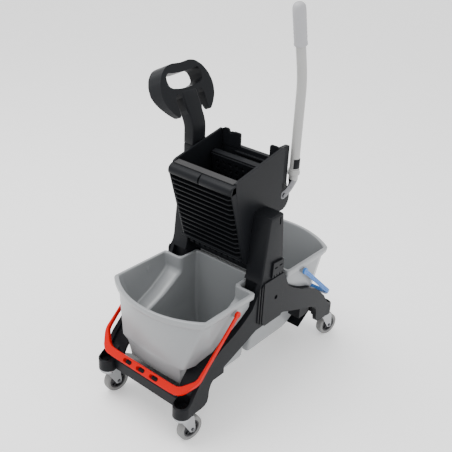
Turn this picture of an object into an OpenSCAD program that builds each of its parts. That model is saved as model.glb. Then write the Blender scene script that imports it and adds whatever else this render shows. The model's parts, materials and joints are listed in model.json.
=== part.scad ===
// Two-bucket mopping trolley with a lever press wringer.
// Frame: +X is the lever side, +Y the rear bucket, +Z up; the origin is on the floor, midway
// between the four castors. Lengths are in millimetres. Heights above the castors are measured from a
// datum plane, which lies datum_z above the floor.

/* [Chassis] */
// Distance between the castor pivots across the trolley
track = 336; // [330:1:340]
// Distance between the castor pivots along the trolley
wheelbase = 770; // [764:1:780]
// Distance from the middle to the outer face of a side frame
frame_half_w = 196; // [195:1:198]
// Thickness of a side frame's arch
frame_t = 16; // [14:1:16]
// Height of the side frame in the middle, where the tower stands on it
frame_top_z = 430; // [420:1:440]
// Radius of a castor pod
pod_r = 30; // [28:1:32]
// Height of the underside of the castor pods
pod_base_z = 98; // [98:1:100]
// Height of the top of the castor pods
pod_top_z = 136; // [130:1:142]

/* [Towers] */
// Height of the tower tops
tower_top_z = 648; // [640:1:654]
// Distance from the middle to a tower's inner face
tower_inner_x = 128; // [128:1:129]
// Distance from the middle to a tower's outer face
tower_outer_x = 194; // [192:1:195]
// Half of the tower's depth at its top
tower_half_top = 33; // [30:1:36]
// Half of the tower's depth at the side frame
tower_half_low = 56; // [54:1:58]

/* [Castors] */
// Height above the floor of the datum plane that all heights but the castors' are measured from
datum_z = 11; // [10:1:12]
// Diameter of a castor wheel
wheel_dia = 85; // [83:1:86]
// Width of a castor tyre
wheel_w = 27; // [24:1:28]
// Distance by which the wheel trails behind its pivot
trail = 30; // [26:1:32]

/* [Buckets] */
// Height of the bucket rims
rim_z = 411; // [409:1:412]
// Depth of the folded edge of the rim
rim_h = 22; // [20:1:23]
// Distance from the middle of the trolley to the curved end of a rim
rim_end_y = 390; // [386:1:394]
// Distance from the middle of the trolley to the corners of a rim
rim_corner_y = 318; // [312:1:322]
// Half of the rim's width at those corners
rim_half_w = 196; // [194:1:196]
// Height of the bucket floors
bucket_floor_z = 72; // [70:1:80]
// Thickness of the bucket walls
bucket_wall = 3; // [3:0.5:4]

/* [Bails] */
// Distance of a bail's pivot from the middle of the trolley
bail_pivot_y = 180; // [178:1:182]
// Height of a bail's pivot
bail_pivot_z = 377; // [376:1:377]
// Distance from the pivot to the outer edge of the grip band
bail_reach = 304; // [300:1:308]
// Angle of a resting bail below the horizontal
bail_drop = 43; // [42:0.5:44]

/* [Wringer] */
// Forward lean of the wringer
lean = 11.3; // [11:0.1:11.5]
// Distance behind the front bucket's side of the middle at which the wringer's lip stands
lip_y = -65; // [-66:1:-64]
// Height of that lip
lip_z = 473; // [472:1:475]
// Height of the front panel along its slope
panel_h = 305; // [300:1:308]
// Thickness of the wringer's side plates
cheek_t = 8; // [6:1:8]
// Travel angle of the lever
lever_swing = 70; // [68:1:72]

/* [Lever] */
// Height of the lever shaft
shaft_z = 652; // [650:1:654]
// Distance of the lever shaft behind the middle
shaft_y = 126; // [125:1:128]
// Distance from the shaft to the drive pins
crank_r = 70; // [68:1:71]
// Diameter of the lever tube
tube_dia = 31; // [28:1:32]
// Height of the top of the grip
grip_top_z = 1258; // [1240:1:1270]

/* [Push handle] */
// Height of the joint between the tower's stub and the push handle
seam_z = 790; // [780:1:800]
// Height at which the handle starts to lean outwards
handle_bend_z = 855; // [850:1:860]
// Outward lean of the hand loop
handle_lean = 26; // [24:1:28]

/* [Hidden] */
$fn = 48;
hull_fn = 32;
gap = 0.3;
run = 0.05;

black = [0.13, 0.14, 0.16];
grey = [0.64, 0.65, 0.66];
zinc = [0.80, 0.81, 0.82];
red = [0.95, 0.22, 0.10];
blue = [0.36, 0.56, 0.80];

frame_inner_x = frame_half_w - frame_t;
pod_x = track / 2;
pod_y = wheelbase / 2;
stem_r = 5.5;

// Each castor: its place as multiples of the pod's distances, and its heading from +Y.
castor_fl = [-1, -1, -8];
castor_fr = [1, -1, -8];
castor_rl = [-1, 1, -10];
castor_rr = [1, 1, -12];

flange_x = 150;

axle_r = 4;
hub_r = 30;
axle_z = wheel_dia / 2;
fork_half_w = 19.5;
fork_t = 2.5;
cup_h = 9;
pod_floor_z = pod_base_z + datum_z;
crown_top_z = pod_floor_z - cup_h - gap;
crown_t = 5;

pad_t = 6;
pad_z = [262, 428];
pad_hole_r = 7.5;
pad_hole = [17, 350];

ear_y = 90;
neck_half_w = 123;
neck_y = 7;
shoulder_z = 224;
shoulder_half = 124;
foot_z = 150;
lip_out = 8;

cheek_outer_x = tower_inner_x;
cheek_inner_x = cheek_outer_x - cheek_t;
back_y = 98;
back_t = 6;
back_low_z = 508;
back_top_z = 778;
tab_h = 42;
tab_r = 8;
plate_y = 152;
plate_t = 12;
plate_half_w = 112;
yoke_x = 36;
yoke_t = 10;
crank_x = 24;
crank_t = 10;
pin_r = 6;
slot_play = 2.2;
shaft_r = 9;
bolt_r = 4;
casing_wall = 4;
casing_half = 99;

lever_x = 120;
lever_y = 175;
lever_foot_z = 690;
lever_bend_z = 1020;
lever_lean = 13;
grip_len = 132;

// The shaft's place in the wringer's own leaning frame.
shaft_local = to_local([shaft_y, shaft_z]);

// Turns a (Y, Z) place on the trolley into the wringer's leaning frame.
function to_local(p) = [
    (p[0] - lip_y) * cos(lean) + (p[1] - lip_z) * sin(lean),
    -(p[0] - lip_y) * sin(lean) + (p[1] - lip_z) * cos(lean)
];

// Turns a place in the leaning frame into a (Y, Z) place on the trolley.
function to_world(p) = [
    lip_y + p[0] * cos(lean) - p[1] * sin(lean),
    lip_z + p[0] * sin(lean) + p[1] * cos(lean)
];

// Points of a shallow arch over a chord from x = -half to x = half, rising by `rise`.
function arch(half, base, rise, steps = 16) =
    let (r = (half * half + rise * rise) / (2 * rise))
    [for (i = [0:steps])
        let (x = -half + 2 * half * i / steps)
        [x, base + sqrt(r * r - x * x) - (r - rise)]];

// Extrudes an outline drawn in (Y, Z) along X, from x0 to x1.
module slab_x(x0, x1) {
    translate([x0, 0, 0])
        rotate([90, 0, 90])
            linear_extrude(x1 - x0) children();
}

// A round bar along X.
module bar_x(x0, x1, y, z, r) {
    translate([x0, y, z]) rotate([0, 90, 0]) cylinder(r = r, h = x1 - x0);
}

// Moves children into the wringer's leaning frame: X across, Y its depth, Z up its slope.
module in_wringer() {
    translate([0, lip_y, lip_z]) rotate([lean, 0, 0]) children();
}

// Moves children up from the datum plane.
module lifted() {
    translate([0, 0, datum_z]) children();
}

module mirrored_x() {
    mirror([1, 0, 0]) children();
}

module mirrored_y() {
    mirror([0, 1, 0]) children();
}

module both_sides() {
    children();
    mirrored_x() children();
}

// ---- chassis ----

// Half of the side frame's outline, from the middle to a castor pod.
arch_upper = [[0, frame_top_z], [62, frame_top_z], [74, 396], [98, 353], [134, 327], [178, 303],
    [236, 280], [272, 262], [298, 240], [336, 204], [356, 174], [368, 158], [376, pod_top_z]];
arch_lower = [[376, pod_base_z + 2], [330, pod_base_z + 1], [312, 102], [301, 110], [296, 128],
    [294, 150], [288, 168], [276, 181], [251, 194], [191, 215], [122, 241], [74, 260], [0, 262]];

function flip(points) = [for (i = [len(points) - 1:-1:0]) [-points[i][0], points[i][1]]];

module arch_outline() {
    offset(r = -30) offset(delta = 30)
        offset(r = 6) offset(delta = -6)
            polygon(concat(arch_upper, arch_lower, flip(arch_lower), flip(arch_upper)));
}

// A castor pod and the neck that blends it into the side frame.
module pod(along) {
    pod_h = pod_top_z - pod_base_z;
    hull() {
        translate([pod_x, along * pod_y, pod_base_z]) cylinder(r = pod_r, h = pod_h, $fn = hull_fn);
        translate([150, along * (pod_y - 45) - 6, pod_base_z + 4]) cube([44, 12, 70]);
    }
}

module pod_holes(along) {
    translate([pod_x, along * pod_y, pod_base_z - 1]) cylinder(r = stem_r, h = 30);
    translate([pod_x, along * pod_y, pod_top_z - 14]) cylinder(r = pod_r - 5, h = 40);
}

// The inner flange along the arch, which carries the bucket's side pockets.
module flange() {
    line = [[104, 348], [178, 303], [236, 279], [268, 262], [304, 226]];
    under = [for (i = [len(line) - 1:-1:0]) [line[i][0] - 3, line[i][1] - 7]];
    slab_x(flange_x, frame_inner_x + 1) polygon(concat(line, under));
}

module side_frame() {
    color(black)
    difference() {
        union() {
            slab_x(frame_inner_x, frame_half_w) arch_outline();
            for (along = [-1, 1]) pod(along);
            flange();
            mirrored_y() flange();
        }
        for (along = [-1, 1]) pod_holes(along);
    }
}

module side_frame_right() {
    side_frame();
}

module side_frame_left() {
    mirrored_x() side_frame();
}

// The channel between the two front pods, open below, with an apron that slopes in under the bucket's foot.
module cross_member() {
    depth = 36;
    half_w = 149;
    top_z = 150;
    wall = 4;
    far_y = pod_y - 7;
    near_y = far_y - depth;
    color(black)
    difference() {
        union() {
            slab_x(-half_w, half_w) polygon([[near_y, 104], [near_y, top_z - 8], [near_y + 8, top_z],
                [far_y - 10, top_z], [far_y, top_z - 14], [far_y, pod_base_z + 2]]);
            slab_x(-half_w, half_w) polygon([[near_y + 1, 142], [near_y + 1, 137], [258, 79], [254, 82]]);
        }
        translate([-140, near_y + wall, 90]) cube([280, depth - 2 * wall - 6, top_z - 94 - wall]);
        for (side = [-1, 1])
            translate([side * pod_x, 0, 0]) mirror([side < 0 ? 1 : 0, 0, 0]) translate([-pod_x, 0, 0]) pod(1);
    }
}

module cross_member_front() {
    mirrored_y() cross_member();
}

module cross_member_rear() {
    cross_member();
}

// Outline of a tower seen from the side.
module tower_outline(base_z) {
    offset(r = 8) offset(delta = -8)
        polygon([[-tower_half_low, base_z], [-tower_half_low, frame_top_z],
            [-tower_half_top, tower_top_z], [tower_half_top, tower_top_z],
            [tower_half_low, frame_top_z], [tower_half_low, base_z]]);
}

// A hollow post, open below. It stands inside the side frame and over its top.
module tower() {
    wall = 5;
    low_z = 264;
    color(black)
    difference() {
        union() {
            slab_x(tower_inner_x, frame_inner_x) tower_outline(low_z);
            slab_x(frame_inner_x, tower_outer_x) intersection() {
                tower_outline(low_z);
                translate([-100, frame_top_z]) square([200, 300]);
            }
        }
        translate([tower_inner_x + wall, wall - tower_half_top, low_z - 1])
            cube([frame_inner_x - tower_inner_x - 2 * wall, 2 * (tower_half_top - wall), 350]);
        translate([tower_outer_x - 3, 14, tower_top_z - 34]) cube([6, 5, 24]);
        bolt_holes();
    }
}

// Holes for the bolts that carry the wringer.
bolt_places = [[-4, 520], [-4, 600]];

module bolt_holes() {
    for (p = bolt_places) bar_x(cheek_inner_x - 1, tower_inner_x + 6, p[0], p[1], bolt_r);
}

module tower_right() {
    tower();
}

module tower_left() {
    mirrored_x() tower();
}

// The accessory pad on the outside of the side frame, with its round socket.
module pad() {
    color(black)
    difference() {
        slab_x(frame_half_w, frame_half_w + pad_t)
            offset(r = 3) offset(delta = -3)
                polygon([[-44, pad_z[0] + 8], [-50, pad_z[0] + 20], [-50, pad_z[1]], [55, pad_z[1]],
                    [55, pad_z[0]], [-36, pad_z[0]]]);
        bar_x(frame_half_w - 1, frame_half_w + pad_t + 1, pad_hole[0], pad_hole[1], pad_hole_r);
    }
}

module pad_right() {
    pad();
}

module pad_left() {
    mirrored_x() pad();
}

// The slotted clip plate above the pad.
module clip_plate() {
    low_z = 432;
    high_z = 486;
    color(black)
    difference() {
        slab_x(tower_outer_x, tower_outer_x + 7)
            polygon([[-12, low_z], [-8, high_z], [46, high_z - 4], [46, low_z]]);
        for (p = [[-2, 462, 14], [24, 464, 14]])
            translate([tower_outer_x + 3, p[0], p[1]]) cube([8, p[2], 4]);
        for (y = [-4:14:38])
            translate([tower_outer_x + 3, y, low_z - 1]) cube([8, 4, 9]);
    }
}

module clip_plate_right() {
    clip_plate();
}

module clip_plate_left() {
    mirrored_x() clip_plate();
}

// The beam between the towers, under the wringer.
module centre_bridge() {
    wall = 4;
    color(black)
    difference() {
        translate([-tower_inner_x, -16, 424]) cube([2 * tower_inner_x, 48, 40]);
        translate([wall - tower_inner_x, wall - 16, 420])
            cube([2 * (tower_inner_x - wall), 48 - 2 * wall, 40]);
    }
}

// Four brackets inside the side frames that guide the feet of the buckets.
module bucket_guides() {
    low_z = 158;
    inner_x = 132;
    color(black)
    for (side = [0, 1], along = [0, 1])
        mirror([side, 0, 0]) mirror([0, along, 0])
            difference() {
                union() {
                    translate([inner_x, 206, low_z]) cube([frame_inner_x - inner_x, 60, 50]);
                    translate([frame_inner_x - 14, 206, low_z]) cube([14, 60, 94]);
                }
                translate([inner_x + 6, 212, low_z - 8]) cube([frame_inner_x - inner_x - 12, 48, 52]);
            }
}

// ---- push handle ----

stub_x = 154.5;
stub_half_x = 21.5;
stub_half_y = 30;

// The stub that stands on the left tower.
module handle_stub() {
    color(black)
    translate([-stub_x - stub_half_x, -stub_half_y, tower_top_z])
        difference() {
            cube([2 * stub_half_x, 2 * stub_half_y, seam_z - tower_top_z]);
            translate([5, 5, -1]) cube([2 * stub_half_x - 10, 2 * stub_half_y - 10, 130]);
        }
}

// Half of the hand loop's outline in its own plane: X across, Y along its slope. It runs from the top,
// round the shoulder to the tip of the hook, up and over the notch, and down the neck.
loop_half = [[0, 190], [40, 193], [66, 188], [92, 168], [109, 141], [116, 112], [115, 90], [107, 66],
    [91, 44], [77, 30], [69, 26], [64, 32], [64, 84], [58, 94], [51, 97], [44, 94], [38, 84], [36, 40],
    [29, 8]];

// Half of the hand hole, a slot that sags in the middle.
hole_half = [[0, 161], [40, 163], [66, 167], [76, 158], [77, 144], [72, 129], [60, 119], [36, 111], [0, 108]];

module loop_outline() {
    difference() {
        polygon(concat(loop_half, flip(loop_half)));
        hand_hole();
    }
}

module hand_hole() {
    polygon(concat(hole_half, flip(hole_half)));
}

// The upper part: a neck that leans outwards and the hand loop at its end.
module handle_loop() {
    loop_x = -158;
    loop_span = [-30, 20];
    color(black) {
        translate([-stub_x - stub_half_x, -stub_half_y, seam_z])
            cube([2 * stub_half_x, 2 * stub_half_y, handle_bend_z - seam_z - 6]);
        hull() {
            translate([-stub_x - stub_half_x, -stub_half_y, handle_bend_z - 10])
                cube([2 * stub_half_x, 2 * stub_half_y, 4]);
            translate([-stub_x, 0, handle_bend_z]) rotate([0, -handle_lean, 0])
                translate([-stub_half_x, -stub_half_y, 22]) cube([2 * stub_half_x, 2 * stub_half_y, 8]);
        }
        translate([loop_x, 0, handle_bend_z]) rotate([0, -handle_lean, 0])
            slab_x(loop_span[0], loop_span[1]) loop_outline();
    }
}

// ---- buckets ----

// One level of a bucket's wide part: straight sides and a curved outer end.
module wide_level(half, inner, corner, rise, round_r) {
    offset(r = round_r, $fn = hull_fn) offset(delta = -round_r)
        polygon(concat([[-half, inner]], arch(half, corner, rise), [[half, inner]]));
}

// Plan of the rim, grown outwards by `grow`.
module rim_plan(grow) {
    offset(delta = grow)
        union() {
            wide_level(rim_half_w - lip_out, ear_y + 6, rim_corner_y - 4, rim_end_y - rim_corner_y - 4, 10);
            translate([8 - neck_half_w, neck_y + 8])
                square([2 * (neck_half_w - 8), rim_corner_y - 120]);
        }
}

// Plan of the wide part where it meets the foot, shrunk all round by `inset`.
module shoulder_level(inset) {
    offset(r = 8, $fn = hull_fn) offset(delta = -8 - inset)
        polygon([[-172, ear_y + 12], [-172, 250], [-150, 297], [-136, 345], [0, 354],
            [136, 345], [150, 297], [172, 250], [172, ear_y + 12]]);
}

// The space under the wide part's two side pockets, whose floors follow the side frames.
module under_pockets(inset) {
    both_sides()
        slab_x(shoulder_half - inset, 220)
            offset(delta = inset)
                polygon([[80, 0], [80, 385], [88, 379], [98, 353], [178, 304], [236, 280], [268, 263],
                    [300, 231], [306, shoulder_z], [400, shoulder_z], [400, 0]]);
}

// The space filled by a bucket down to its foot, shrunk all round by `inset`.
module bucket_body(inset) {
    foot_half = 112 - inset;
    top_half = rim_half_w - lip_out - inset;
    difference() {
        hull() {
            translate([0, 0, rim_z - 1])
                linear_extrude(1)
                    wide_level(top_half, ear_y + 6 + inset, rim_corner_y - 4 - inset, 68, 10);
            translate([0, 0, shoulder_z]) linear_extrude(1) shoulder_level(inset);
        }
        under_pockets(inset);
    }
    hull() {
        translate([0, 0, shoulder_z])
            linear_extrude(1)
                wide_level(shoulder_half - inset, 50, 342 - inset, 8, 10);
        translate([0, 0, foot_z])
            linear_extrude(1)
                wide_level(foot_half, 50, 328 - inset, 6, 10);
        translate([0, 0, bucket_floor_z + inset])
            linear_extrude(1)
                wide_level(foot_half - 8, 60, 216 - inset, 4, 10);
    }
    // the neck between the towers
    translate([0, neck_y + 8 + inset, bucket_floor_z + inset])
        linear_extrude(rim_z - bucket_floor_z - inset)
            translate([8 - neck_half_w + inset, 0]) square([2 * (neck_half_w - 8 - inset), 120]);
}

// A bucket with its folded rim and the two bosses for its bail.
module bucket() {
    difference() {
        union() {
            bucket_body(0);
            translate([0, 0, rim_z - rim_h]) linear_extrude(rim_h) rim_plan(lip_out);
            both_sides() bar_x(180, rim_half_w, bail_pivot_y, bail_pivot_z, 11);
        }
        difference() {
            translate([0, 0, rim_z - rim_h - 1]) linear_extrude(rim_h - 2) rim_plan(lip_out - 2.5);
            bucket_body(0);
        }
        difference() {
            bucket_body(bucket_wall);
            both_sides() bar_x(180, rim_half_w, bail_pivot_y, bail_pivot_z, 11);
        }
        translate([0, 0, rim_z - 2]) linear_extrude(4) rim_plan(-bucket_wall);
        both_sides() bar_x(183.7, rim_half_w + 1, bail_pivot_y, bail_pivot_z, pin_r + run);
    }
}

module bucket_front() {
    color(grey) mirrored_y() bucket();
}

module bucket_rear() {
    color(grey) bucket();
}

// ---- bails ----

// Outline of a bail in its own plane: X across, Y away from the pivots.
module bail_outline() {
    outer = 205;
    arm = 7;
    band = 26;
    difference() {
        offset(r = 10) offset(delta = -10)
            polygon([[-outer, -11], [-outer, 240], [-outer + 44, bail_reach], [outer - 44, bail_reach],
                [outer, 240], [outer, -11]]);
        polygon([[-outer + arm, -20], [-outer + arm, 232], [-outer + 60, bail_reach - band],
            [outer - 60, bail_reach - band], [outer - arm, 232], [outer - arm, -20]]);
    }
}

module bail(hole_count) {
    thick = 16;
    translate([0, bail_pivot_y, bail_pivot_z]) rotate([-bail_drop, 0, 0])
        difference() {
            union() {
                translate([0, 0, -thick / 2]) linear_extrude(thick) bail_outline();
                for (side = [0, 1]) mirror([side, 0, 0]) {
                    bar_x(184, 199, 0, 0, pin_r);
                    bar_x(198, 205, 0, 0, 11);
                }
            }
            for (i = [0:hole_count - 1])
                translate([(i - (hole_count - 1) / 2) * 58, bail_reach - 13, -thick])
                    linear_extrude(2 * thick) hull() {
                        translate([-11, 0]) circle(r = 7, $fn = hull_fn);
                        translate([11, 0]) circle(r = 7, $fn = hull_fn);
                    }
        }
}

module bail_front() {
    color(red) mirrored_y() bail(3);
}

module bail_rear() {
    color(blue) bail(3);
}

// ---- wringer ----

rib_pitch = 18.6;
rib_count = 14;
first_rib = 33;
panel_t = 8;
tray_half = 119.5;
tray_corner = 11;

// Depth of the ribs' front edges at a height up the panel.
function tray_front(h) = -15.8 - 0.06 * h;

// The ribbed, slotted front panel that the mop is pressed against. It stands out as a tray.
module wringer_front() {
    side_t = 3;
    brow = [[8, 302], [-8, 302], [-23, 299], [-30, 293], [-33, 285], [-33, 277], [-29, 277], [-29, 284],
        [-27, 290], [-21, 295], [-8, 298], [8, 298]];
    color(black)
    in_wringer()
        difference() {
            union() {
                translate([-cheek_inner_x, 6, 0]) cube([2 * cheek_inner_x, panel_t, panel_h - 3]);
                intersection() {
                    slab_x(-tray_half, tray_half) polygon(brow);
                    linear_extrude(panel_h) tray_plan(tray_front(285));
                }
                for (i = [0:rib_count - 1])
                    translate([0, 0, first_rib + i * rib_pitch])
                        linear_extrude(5) tray_plan(tray_front(first_rib + i * rib_pitch));
                both_sides() slab_x(tray_half - side_t, tray_half)
                    polygon([[8, 14], [tray_front(14) + tray_corner, 20],
                        [tray_front(296) + tray_corner, 296], [8, 300]]);
                slab_x(-tray_half, tray_half)
                    polygon([[tray_front(34) + 1, 36], [tray_front(34) + 1, 30], [7, 6], [7, 11]]);
            }
            translate([-3, -40, 274]) cube([6, 20, 22]);
            for (i = [0:rib_count - 1], x = [-84:42:84])
                translate([x - 14, 4, first_rib + 8 + i * rib_pitch]) cube([28, 14, 7]);
            for (x = [-96:24:96])
                translate([x - 5, -1, -1]) cube([10, 20, 6]);
        }
}

// Plan of the tray at one level: a bar whose front corners are cut off.
module tray_plan(front) {
    polygon([[-tray_half, 8], [-tray_half, front + tray_corner], [tray_corner - tray_half, front],
        [tray_half - tray_corner, front], [tray_half, front + tray_corner], [tray_half, 8]]);
}

// The flat strip along the top of the front panel.
module wringer_lip() {
    color(grey)
    in_wringer()
        translate([-cheek_inner_x + 1, -8, panel_h - 3]) cube([2 * cheek_inner_x - 2, 22, 3]);
}

// A side plate of the wringer, in the trolley's own directions.
module wringer_cheek() {
    top_rear = to_world([236, panel_h + 2]);
    color(black)
    difference() {
        slab_x(cheek_inner_x, cheek_outer_x)
            offset(r = 5) offset(delta = -5)
                polygon([to_world([4, 0]), to_world([3, 100]), to_world([0, 160]), to_world([-6, 222]),
                    to_world([-8, panel_h - 24]), to_world([-4, panel_h]), to_world([8, panel_h + 4]),
                    [back_y + back_t - 8, top_rear[1] + 4], [back_y + back_t + 2, top_rear[1] - 4],
                    [back_y + back_t, 540], to_world([160, -6]), to_world([20, -6])]);
        bolt_holes();
    }
}

module wringer_cheek_right() {
    wringer_cheek();
}

module wringer_cheek_left() {
    mirrored_x() wringer_cheek();
}

// The sloping floor that drains towards the front bucket.
module wringer_floor() {
    color(black)
    in_wringer()
        difference() {
            translate([-cheek_inner_x, 14, 0]) cube([2 * cheek_inner_x, 151, 4]);
            for (x = [-96:24:96])
                translate([x - 5, 24, -1]) cube([10, 60, 6]);
        }
}

// The upright back wall, with windows for the cranks and yokes and two tabs on top.
module wringer_back() {
    color(black)
    difference() {
        union() {
            translate([-cheek_inner_x, back_y, back_low_z])
                cube([2 * cheek_inner_x, back_t, back_top_z - back_low_z]);
            for (span = [[-90, -46], [73, 107]])
                hull() {
                    translate([span[0], back_y, back_top_z - 5]) cube([span[1] - span[0], back_t, 5]);
                    for (x = [span[0] + tab_r, span[1] - tab_r])
                        translate([x, back_y, back_top_z + tab_h - tab_r])
                            rotate([-90, 0, 0]) cylinder(r = tab_r, h = back_t, $fn = hull_fn);
                }
            for (z = [742, 756])
                translate([-60, back_y - 7, z]) cube([140, 8, 6]);
        }
        both_sides() {
            in_wringer()
                translate([yoke_x - 1, plate_y - 2, 47]) cube([yoke_t + 5, 80, 62]);
            translate([crank_x - 1.5, back_y - 1, 546]) cube([crank_t + 3, back_t + 2, 120]);
        }
    }
}

// Four bolts from inside the wringer into the towers.
module wringer_bolts() {
    color(zinc)
    both_sides()
        for (p = bolt_places) {
            bar_x(cheek_inner_x - 0.5, tower_inner_x + 5, p[0], p[1], bolt_r);
            bar_x(cheek_inner_x - 4.5, cheek_inner_x, p[0], p[1], 7);
        }
}

// Outline of the casing behind the back wall, shrunk all round by `inset`.
module casing_outline(inset) {
    front_y = back_y + back_t;
    hull() {
        translate([144, 624]) circle(r = 42 - inset, $fn = hull_fn);
        translate([front_y, 600]) square([10, back_top_z - 600 - inset]);
        translate([front_y, 600]) square([42 - inset, 150]);
    }
}

module casing_bulge(inset) {
    front_y = back_y + back_t;
    hull() {
        translate([158, 602]) circle(r = 53 - inset, $fn = hull_fn);
        translate([front_y, 549 + inset]) square([40 - inset, 190 - 2 * inset]);
    }
}

// One of the two upright ears that close the casing towards the side plates.
module casing_ear() {
    front_y = back_y + back_t;
    offset(r = 6, $fn = hull_fn) offset(delta = -6)
        polygon([[front_y, 686], [front_y, 814], [front_y + 22, 814],
            [front_y + 24, 720], [front_y + 12, 686]]);
}

// The rounded casing that covers the shaft and the cranks.
module rear_casing() {
    front_y = back_y + back_t;
    half = casing_half;
    bulge = 64;
    color(black)
    difference() {
        union() {
            slab_x(-half, half) casing_outline(0);
            slab_x(-bulge, bulge) casing_bulge(0);
            both_sides() slab_x(half - 1, half + 14) casing_ear();
        }
        slab_x(casing_wall - half, half - casing_wall) casing_outline(casing_wall);
        slab_x(casing_wall - bulge, bulge - casing_wall) casing_bulge(casing_wall);
        translate([-half - 1, front_y - 60, 500]) cube([2 * half + 2, 60, 400]);
        translate([casing_wall - bulge, front_y - 1, 560]) cube([2 * (bulge - casing_wall), 20, 150]);
        bar_x(-half - 1, half + 1, shaft_y, shaft_z, 12);
    }
}

// Flanged bushes in the casing's side walls.
module shaft_bushes() {
    color(zinc)
    both_sides()
        difference() {
            union() {
                bar_x(casing_half - casing_wall - 3, casing_half + 1, shaft_y, shaft_z, 12);
                bar_x(casing_half - casing_wall - 3, casing_half - casing_wall, shaft_y, shaft_z, 15);
            }
            bar_x(casing_half - 10, casing_half + 2, shaft_y, shaft_z, shaft_r + run);
        }
}

// ---- press ----

// The perforated plate that squeezes the mop against the front panel.
module press_plate() {
    color(black)
    in_wringer()
        difference() {
            union() {
                translate([-plate_half_w, plate_y, 8]) cube([2 * plate_half_w, plate_t, 250]);
                translate([-plate_half_w, plate_y + 4, 258]) cube([2 * plate_half_w, plate_t + 8, 6]);
            }
            for (i = [0:7], j = [0:9])
                translate([-91 + i * 26, plate_y - 1, 24 + j * 23]) cube([10, plate_t + 2, 10]);
        }
}

// The two slotted arms behind the plate that the drive pins run in.
module press_yokes() {
    slot_y = shaft_local[0] + crank_r * sin(lever_swing / 2);
    pin_high = shaft_local[1] - crank_r * cos(lever_swing / 2);
    pin_low = shaft_local[1] - crank_r;
    slot_r = pin_r + slot_play;
    arm_low = pin_low - slot_r - 8;
    arm_high = pin_high + slot_r + 8;
    color(black)
    in_wringer() both_sides()
        difference() {
            translate([yoke_x, plate_y + plate_t, arm_low])
                cube([yoke_t, slot_y + slot_r + 5 - plate_y - plate_t, arm_high - arm_low]);
            translate([0, slot_y, 0]) {
                bar_x(yoke_x - 1, yoke_x + yoke_t + 1, 0, pin_low - 1, slot_r);
                bar_x(yoke_x - 1, yoke_x + yoke_t + 1, 0, pin_high + 1, slot_r);
                translate([yoke_x - 1, -slot_r, pin_low - 1])
                    cube([yoke_t + 2, 2 * slot_r, pin_high - pin_low + 2]);
            }
        }
}

// ---- lever ----

module lever_shaft() {
    color(zinc) bar_x(-casing_half - 6, lever_x + 4, shaft_y, shaft_z, shaft_r);
}

// Two cranks on the shaft with their drive pins.
module cranks() {
    pin = to_world([shaft_local[0] + crank_r * sin(lever_swing / 2),
        shaft_local[1] - crank_r * cos(lever_swing / 2)]);
    reach = [pin[0] - shaft_y, pin[1] - shaft_z];
    slope = atan2(reach[1], reach[0]);
    color(zinc)
    both_sides()
        difference() {
            union() {
                bar_x(crank_x, crank_x + crank_t, shaft_y, shaft_z, 15);
                bar_x(crank_x, crank_x + crank_t, pin[0], pin[1], 10);
                bar_x(crank_x + crank_t - 1, yoke_x + yoke_t + 2, pin[0], pin[1], pin_r);
                translate([crank_x, shaft_y, shaft_z]) rotate([slope, 0, 0])
                    translate([0, 0, -8]) cube([crank_t, crank_r, 16]);
            }
            bar_x(crank_x - 1, crank_x + crank_t + 1, shaft_y, shaft_z, shaft_r);
        }
}

// The flattened zinc end of the lever, clamped on the shaft.
module lever_end() {
    t = 8;
    color(zinc)
    difference() {
        slab_x(lever_x - t / 2, lever_x + t / 2)
            union() {
                hull() {
                    translate([shaft_y, shaft_z]) circle(r = 15, $fn = hull_fn);
                    translate([158, 656]) circle(r = 15, $fn = hull_fn);
                }
                hull() {
                    translate([158, 656]) circle(r = 15, $fn = hull_fn);
                    translate([lever_y - 14, lever_foot_z - 4]) square([28, 4]);
                }
            }
        bar_x(lever_x - t, lever_x + t, shaft_y, shaft_z, shaft_r);
    }
}

// The grey tube: a straight length, a bend and a second straight length.
module lever_tube() {
    upper_len = (grip_top_z - lever_bend_z) / cos(lever_lean) - 20;
    color(grey) {
        translate([lever_x, lever_y, lever_foot_z]) cylinder(d = tube_dia, h = lever_bend_z - lever_foot_z);
        translate([lever_x, lever_y, lever_bend_z]) sphere(d = tube_dia);
        translate([lever_x, lever_y, lever_bend_z]) rotate([lever_lean, 0, 0])
            cylinder(d = tube_dia, h = upper_len);
    }
}

module lever_collar() {
    color(grey)
    translate([lever_x, lever_y, 712])
        difference() {
            union() {
                cylinder(d = tube_dia + 5, h = 14);
                cylinder(d = tube_dia + 3, h = 18);
            }
            translate([0, 0, -1]) cylinder(d = tube_dia, h = 20);
        }
}

// A short black half sleeve clipped on the tube above the collar.
module lever_band() {
    color(black)
    translate([lever_x, lever_y, 735])
        difference() {
            cylinder(d = tube_dia + 3, h = 22);
            translate([0, 0, -1]) cylinder(d = tube_dia, h = 24);
            translate([-40, -40, -1]) cube([80, 36, 24]);
        }
}

module lever_grip() {
    grip_r = 21;
    total = (grip_top_z - lever_bend_z) / cos(lever_lean);
    color(grey)
    translate([lever_x, lever_y, lever_bend_z]) rotate([lever_lean, 0, 0])
        difference() {
            union() {
                translate([0, 0, total - grip_len]) cylinder(r = grip_r, h = grip_len - grip_r);
                translate([0, 0, total - grip_r]) sphere(r = grip_r);
            }
            translate([0, 0, total - grip_len - 1]) cylinder(d = tube_dia, h = grip_len - 19);
        }
}

// ---- castors ----

// Puts a castor part, drawn at its pivot with the trail along +Y, in its place.
module at_castor(place) {
    translate([place[0] * pod_x, place[1] * pod_y, 0]) rotate([0, 0, place[2]]) children();
}

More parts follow.
